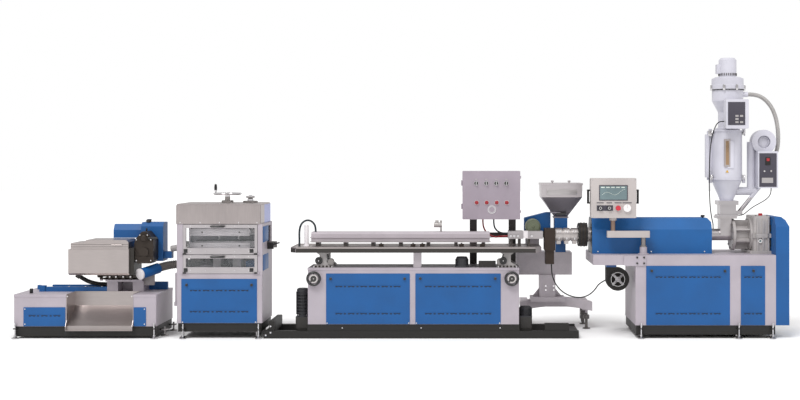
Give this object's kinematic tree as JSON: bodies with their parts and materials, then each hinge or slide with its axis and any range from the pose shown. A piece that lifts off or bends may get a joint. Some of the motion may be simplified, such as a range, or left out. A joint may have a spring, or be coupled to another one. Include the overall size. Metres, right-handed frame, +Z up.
{
  "type": "plastic profile extrusion line",
  "caption": "Profile extrusion line: extruder with hopper dryer, side extruder, die, vacuum calibration table, belt haul-off and travelling saw cutter.",
  "frame": {"origin": "on the floor under the middle of the calibration table's base frame", "axes": "+X along the line from the cutter to the extruder, +Y from the operator's side to the back, +Z up; -Y is the side in the picture"},
  "size_m": [7.4552, 1.3273, 2.697],
  "materials": {
    "grey_paint": "semi-gloss powder coat",
    "blue_paint": "semi-gloss powder coat",
    "dark_paint": "satin black paint",
    "stainless": "brushed",
    "machined_steel": "machined",
    "cast_paint": "painted casting",
    "clear_pane": "clear sheet",
    "white_paint": "gloss powder coat",
    "chromed": "bright",
    "duct_fabric": "spiral duct fabric",
    "hose_grey": "spiral hose",
    "hose_red": "smooth",
    "hose_dark": "smooth",
    "black_rubber": "matte"
  },
  "bodies": {
    "line": {"cutter_cabinet": "grey_paint", "catch_chute": "stainless", "cutter_rails": "blue_paint", "saw_carriage": "grey_paint", "saw_hood": "stainless", "saw_gear_plate": "dark_paint", "dust_pipe": "blue_paint", "drive_guards": "blue_paint", "machine_plinths": "dark_paint", "machine_panels": "blue_paint", "haul_cabinet": "grey_paint", "haul_housing": "grey_paint", "haul_walls": "grey_paint", "lower_track": "machined_steel", "haul_fittings": "machined_steel", "base_rail": "dark_paint", "coex_stand": "grey_paint", "coex_hopper": "stainless", "coex_barrel": "blue_paint", "die_head": "machined_steel", "extruder_frame": "grey_paint", "barrel_cover": "grey_paint", "feed_zone": "machined_steel", "gearbox": "cast_paint", "cooling_fan": "dark_paint", "dryer_hopper": "white_paint", "dryer_loader": "white_paint", "dryer_air": "white_paint", "loader_hose": "hose_grey", "dust_hose": "duct_fabric", "carriage_conduit": "black_rubber", "loader_cable": "black_rubber", "dryer_cable": "black_rubber", "fan_cable": "black_rubber"},
    "table": {"table_skirt": "dark_paint", "table_cabinet": "grey_paint", "table_panels": "blue_paint", "table_top": "stainless", "cooling_trough": "stainless", "calibrators": "machined_steel", "table_jacks": "cast_paint", "table_drives": "cast_paint", "control_box": "grey_paint", "table_hose": "hose_dark", "red_hose": "hose_red", "dark_hose": "hose_dark"},
    "table_wheel_left": {"table_wheel_left": "chromed"},
    "table_wheel_right": {"table_wheel_right": "chromed"},
    "box_door": {"box_door": "grey_paint"},
    "guard_upper": {"guard_upper_frame": "grey_paint", "guard_upper_pane": "clear_pane"},
    "guard_lower": {"guard_lower_frame": "grey_paint", "guard_lower_pane": "clear_pane"},
    "upper_track": {"upper_track": "machined_steel"},
    "lift_wheel": {"lift_wheel": "chromed"},
    "saw_lid": {"saw_lid": "stainless"},
    "pendant_arm": {"pendant_arm": "grey_paint"},
    "pendant": {"pendant": "grey_paint"},
    "caster_left": {"caster_wheel_left": "black_rubber"},
    "caster_right": {"caster_wheel_right": "black_rubber"}
  },
  "joints": [
    {"name": "table_travel", "type": "slide", "parent": "line", "child": "table", "axis": [1, 0, 0], "range_m": [-0.15, 0]},
    {"name": "table_wheel_left_turn", "type": "hinge", "parent": "table", "child": "table_wheel_left", "pos_m": [-1.018, -0.275, 0.571], "axis": [0, -1, 0], "continuous": true},
    {"name": "table_wheel_right_turn", "type": "hinge", "parent": "table", "child": "table_wheel_right", "pos_m": [0.861, -0.275, 0.571], "axis": [0, -1, 0], "continuous": true},
    {"name": "box_door_swing", "type": "hinge", "parent": "table", "child": "box_door", "pos_m": [0.382, 0.183, 1.355], "axis": [0, 0, -1], "range_deg": [0, 110]},
    {"name": "guard_upper_swing", "type": "hinge", "parent": "line", "child": "guard_upper", "pos_m": [-1.9175, -0.289, 0.805], "axis": [1, 0, 0], "range_deg": [0, 90]},
    {"name": "guard_lower_swing", "type": "hinge", "parent": "line", "child": "guard_lower", "pos_m": [-1.9175, -0.289, 0.623], "axis": [1, 0, 0], "range_deg": [0, 90]},
    {"name": "lift_wheel_turn", "type": "hinge", "parent": "line", "child": "lift_wheel", "pos_m": [-1.9175, 0.125, 1.278], "axis": [0, 0, 1], "range_deg": [0, 2880]},
    {"name": "upper_track_lift", "type": "slide", "parent": "line", "child": "upper_track", "axis": [0, 0, 1], "range_m": [0, 0.04]},
    {"name": "saw_lid_swing", "type": "hinge", "parent": "line", "child": "saw_lid", "pos_m": [-3.377, -0.01, 0.865], "axis": [0, -1, 0], "range_deg": [0, 80]},
    {"name": "pendant_arm_swing", "type": "hinge", "parent": "line", "child": "pendant_arm", "pos_m": [2.126, -0.175, 0.954], "axis": [0, 0, 1], "range_deg": [0, 170]},
    {"name": "pendant_turn", "type": "hinge", "parent": "pendant_arm", "child": "pendant", "pos_m": [1.834, -0.175, 1.143], "axis": [0, 0, 1], "range_deg": [-60, 60]},
    {"name": "caster_left_roll", "type": "hinge", "parent": "line", "child": "caster_left", "pos_m": [1.0215, 0.94, 0.055], "axis": [1, 0, 0], "continuous": true},
    {"name": "caster_right_roll", "type": "hinge", "parent": "line", "child": "caster_right", "pos_m": [1.6365, 0.94, 0.055], "axis": [1, 0, 0], "continuous": true}
  ],
  "couplings": [
    {"joint": "upper_track_lift", "follows": "lift_wheel_turn", "m_per_rad": 0.00079577}
  ]
}
